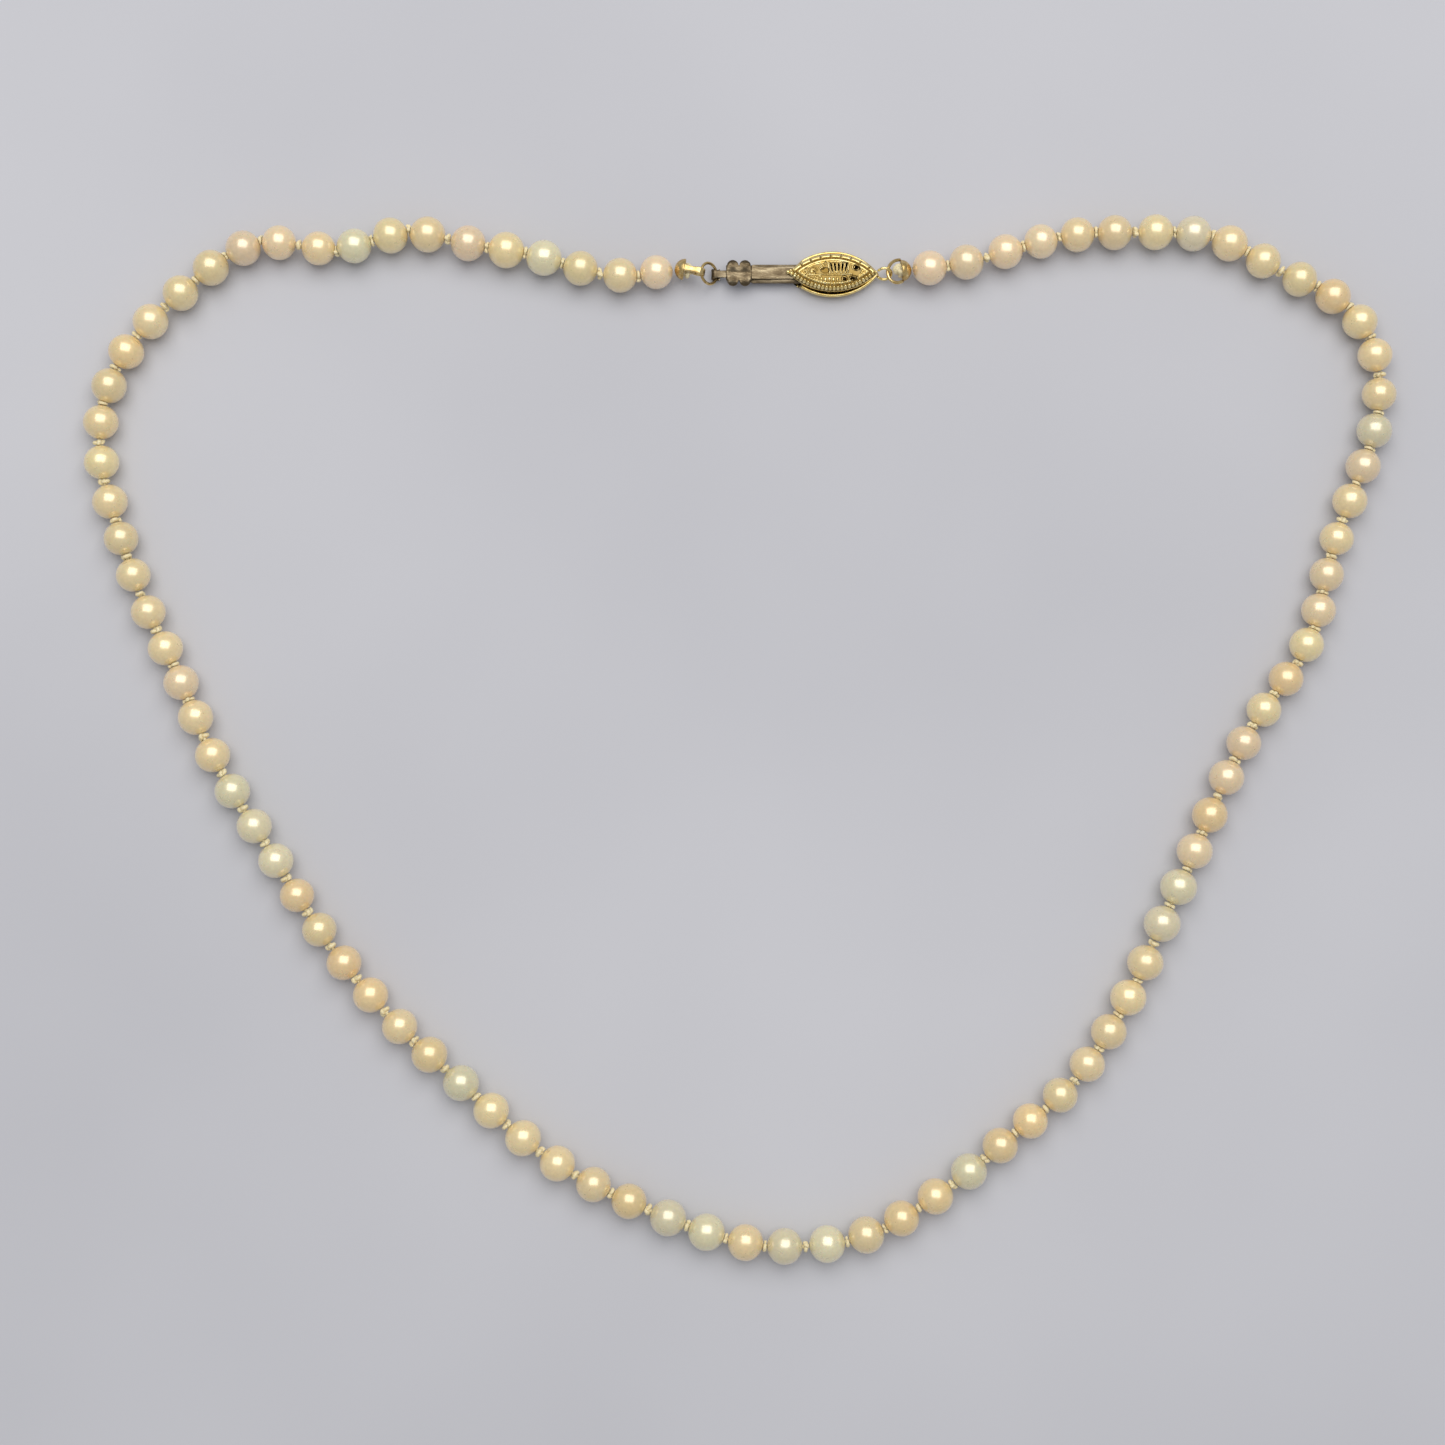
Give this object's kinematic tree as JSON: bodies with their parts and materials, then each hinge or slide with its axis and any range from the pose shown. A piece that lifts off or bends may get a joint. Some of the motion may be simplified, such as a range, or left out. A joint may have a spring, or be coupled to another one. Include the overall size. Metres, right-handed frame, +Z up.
{
  "type": "pearl necklace",
  "caption": "Single-row knotted pearl necklace lying in an open loop, with a pierced marquise box clasp, sliding hooked tongue, jump ring and bead-tip cups.",
  "frame": {"origin": "centre of the loop's footprint, on the surface that it lies on", "axes": "+X along the long side of the loop towards the clasp's housing side, +Y from the front pearls to the clasp, +Z up"},
  "size_m": [0.1632, 0.1301, 0.0047],
  "materials": {
    "pearl": "lustrous cream nacre",
    "silk": "twisted cream silk",
    "clasp_gold": "polished gold-tone filigree, worn on the high points",
    "tongue_bronze": "dull worn spring leaf",
    "findings_gold": "gold-tone wire and stamped cups"
  },
  "bodies": {
    "strand_01": {"pearls_01": "pearl", "silk_01": "silk"},
    "strand_02": {"pearls_02": "pearl", "silk_02": "silk"},
    "strand_03": {"pearls_03": "pearl", "silk_03": "silk"},
    "strand_04": {"pearls_04": "pearl", "silk_04": "silk"},
    "strand_05": {"pearls_05": "pearl", "silk_05": "silk"},
    "strand_06": {"pearls_06": "pearl", "silk_06": "silk"},
    "strand_07": {"pearls_07": "pearl", "silk_07": "silk"},
    "strand_08": {"pearls_08": "pearl", "silk_08": "silk"},
    "strand_09": {"pearls_09": "pearl", "silk_09": "silk"},
    "strand_10": {"pearls_10": "pearl", "silk_10": "silk"},
    "strand_11": {"pearls_11": "pearl", "silk_11": "silk"},
    "strand_12": {"pearls_12": "pearl", "silk_12": "silk"},
    "strand_13": {"pearls_13": "pearl", "silk_13": "silk"},
    "strand_14": {"pearls_14": "pearl", "silk_14": "silk"},
    "strand_15": {"pearls_15": "pearl", "silk_15": "silk"},
    "strand_16": {"pearls_16": "pearl", "silk_16": "silk"},
    "strand_17": {"pearls_17": "pearl", "silk_17": "silk"},
    "strand_18": {"pearls_18": "pearl", "silk_18": "silk"},
    "strand_19": {"pearls_19": "pearl", "silk_19": "silk"},
    "strand_20": {"pearls_20": "pearl", "silk_20": "silk"},
    "strand_21": {"pearls_21": "pearl", "silk_21": "silk"},
    "strand_22": {"pearls_22": "pearl", "silk_22": "silk"},
    "strand_23": {"pearls_23": "pearl", "silk_23": "silk", "bead_tip_right": "findings_gold", "end_knot_right": "silk"},
    "clasp_housing": {"clasp_bottom_shell": "clasp_gold", "clasp_top_shell": "clasp_gold", "clasp_catch_bar": "clasp_gold", "clasp_end_loop": "clasp_gold"},
    "clasp_tongue": {"tongue_base": "tongue_bronze", "tongue_catch_hook": "tongue_bronze"},
    "thumb_leaf": {"tongue_spring_leaf": "tongue_bronze"},
    "jump_ring": {"jump_ring": "findings_gold"},
    "left_tip": {"bead_tip_left": "findings_gold", "end_knot_left": "silk"}
  },
  "joints": [
    {"name": "knot_42_bend", "type": "hinge", "parent": "strand_12", "child": "strand_11", "pos_m": [-0.01095, -0.05797, 0.00228], "axis": [0, 0, 1], "range_deg": [0, 28]},
    {"name": "knot_38_lift", "type": "hinge", "parent": "strand_11", "child": "strand_10", "pos_m": [-0.02839, -0.04751, 0.00231], "axis": [-0.6534, -0.757, 0], "range_deg": [-25, 0]},
    {"name": "knot_34_bend", "type": "hinge", "parent": "strand_10", "child": "strand_09", "pos_m": [-0.04352, -0.03357, 0.00227], "axis": [0, 0, 1], "range_deg": [0, 28]},
    {"name": "knot_30_lift", "type": "hinge", "parent": "strand_09", "child": "strand_08", "pos_m": [-0.05569, -0.01715, 0.00222], "axis": [-0.8513, -0.5247, 0], "range_deg": [-25, 0]},
    {"name": "knot_26_bend", "type": "hinge", "parent": "strand_08", "child": "strand_07", "pos_m": [-0.06608, 0.00036, 0.00224], "axis": [0, 0, 1], "range_deg": [0, 28]},
    {"name": "knot_22_lift", "type": "hinge", "parent": "strand_07", "child": "strand_06", "pos_m": [-0.07404, 0.01806, 0.00219], "axis": [-0.9249, -0.3803, 0], "range_deg": [-25, 0]},
    {"name": "knot_18_bend", "type": "hinge", "parent": "strand_06", "child": "strand_05", "pos_m": [-0.07925, 0.0369, 0.00223], "axis": [0, 0, 1], "range_deg": [0, 28]},
    {"name": "knot_14_lift", "type": "hinge", "parent": "strand_05", "child": "strand_04", "pos_m": [-0.07113, 0.05382, 0.00228], "axis": [-0.6915, 0.7224, 0], "range_deg": [-25, 0]},
    {"name": "knot_10_bend", "type": "hinge", "parent": "strand_04", "child": "strand_03", "pos_m": [-0.05449, 0.06155, 0.00219], "axis": [0, 0, 1], "range_deg": [0, 28]},
    {"name": "knot_06_lift", "type": "hinge", "parent": "strand_03", "child": "strand_02", "pos_m": [-0.03595, 0.0623, 0.00229], "axis": [0.2122, 0.9772, 0], "range_deg": [-25, 0]},
    {"name": "knot_02_bend", "type": "hinge", "parent": "strand_02", "child": "strand_01", "pos_m": [-0.01702, 0.05794, 0.00223], "axis": [0, 0, 1], "range_deg": [0, 28]},
    {"name": "knot_46_bend", "type": "hinge", "parent": "strand_12", "child": "strand_13", "pos_m": [0.0085, -0.06247, 0.00233], "axis": [0, 0, -1], "range_deg": [0, 28]},
    {"name": "knot_50_lift", "type": "hinge", "parent": "strand_13", "child": "strand_14", "pos_m": [0.02659, -0.05487, 0.00229], "axis": [-0.5955, 0.8033, 0], "range_deg": [-20, 0]},
    {"name": "knot_54_bend", "type": "hinge", "parent": "strand_14", "child": "strand_15", "pos_m": [0.04173, -0.04215, 0.00226], "axis": [0, 0, -1], "range_deg": [0, 28]},
    {"name": "knot_58_lift", "type": "hinge", "parent": "strand_15", "child": "strand_16", "pos_m": [0.05151, -0.02519, 0.00233], "axis": [-0.9167, 0.3995, 0], "range_deg": [-20, 0]},
    {"name": "knot_62_bend", "type": "hinge", "parent": "strand_16", "child": "strand_17", "pos_m": [0.05951, -0.00699, 0.00226], "axis": [0, 0, -1], "range_deg": [0, 28]},
    {"name": "knot_66_lift", "type": "hinge", "parent": "strand_17", "child": "strand_18", "pos_m": [0.06955, 0.0095, 0.00219], "axis": [-0.8531, 0.5218, 0], "range_deg": [-25, 0]},
    {"name": "knot_70_bend", "type": "hinge", "parent": "strand_18", "child": "strand_19", "pos_m": [0.07521, 0.02727, 0.00219], "axis": [0, 0, -1], "range_deg": [0, 28]},
    {"name": "knot_74_lift", "type": "hinge", "parent": "strand_19", "child": "strand_20", "pos_m": [0.07991, 0.04539, 0.00219], "axis": [-0.995, -0.1002, 0], "range_deg": [-25, 0]},
    {"name": "knot_78_bend", "type": "hinge", "parent": "strand_20", "child": "strand_21", "pos_m": [0.0677, 0.05824, 0.00224], "axis": [0, 0, -1], "range_deg": [0, 28]},
    {"name": "knot_82_lift", "type": "hinge", "parent": "strand_21", "child": "strand_22", "pos_m": [0.04957, 0.06311, 0.00226], "axis": [0.0087, -1, 0], "range_deg": [-25, 0]},
    {"name": "knot_86_bend", "type": "hinge", "parent": "strand_22", "child": "strand_23", "pos_m": [0.03104, 0.05998, 0.00223], "axis": [0, 0, -1], "range_deg": [0, 28]},
    {"name": "clasp_housing_swing", "type": "hinge", "parent": "strand_23", "child": "clasp_housing", "pos_m": [0.01884, 0.0581, 0.0015], "axis": [-0.1381, 0.9904, 0], "range_deg": [-55, 55]},
    {"name": "clasp_tongue_slide", "type": "slide", "parent": "clasp_housing", "child": "clasp_tongue", "axis": [1, 0, 0], "range_m": [0, 0.0044]},
    {"name": "clasp_thumb_press", "type": "hinge", "parent": "clasp_tongue", "child": "thumb_leaf", "pos_m": [0.00955, 0.0581, 0.00145], "axis": [0, -1, 0], "range_deg": [0, 1.8], "stiffness_Nm_per_rad": 0.3},
    {"name": "clasp_ring_swing", "type": "hinge", "parent": "clasp_tongue", "child": "jump_ring", "pos_m": [-0.00262, 0.0581, 0.00085], "axis": [0, 1, 0], "range_deg": [-40, 40]},
    {"name": "clasp_tip_swing", "type": "hinge", "parent": "jump_ring", "child": "left_tip", "pos_m": [-0.00441, 0.0581, 0.00257], "axis": [-0.1809, -0.9835, 0], "range_deg": [-50, 50]}
  ]
}
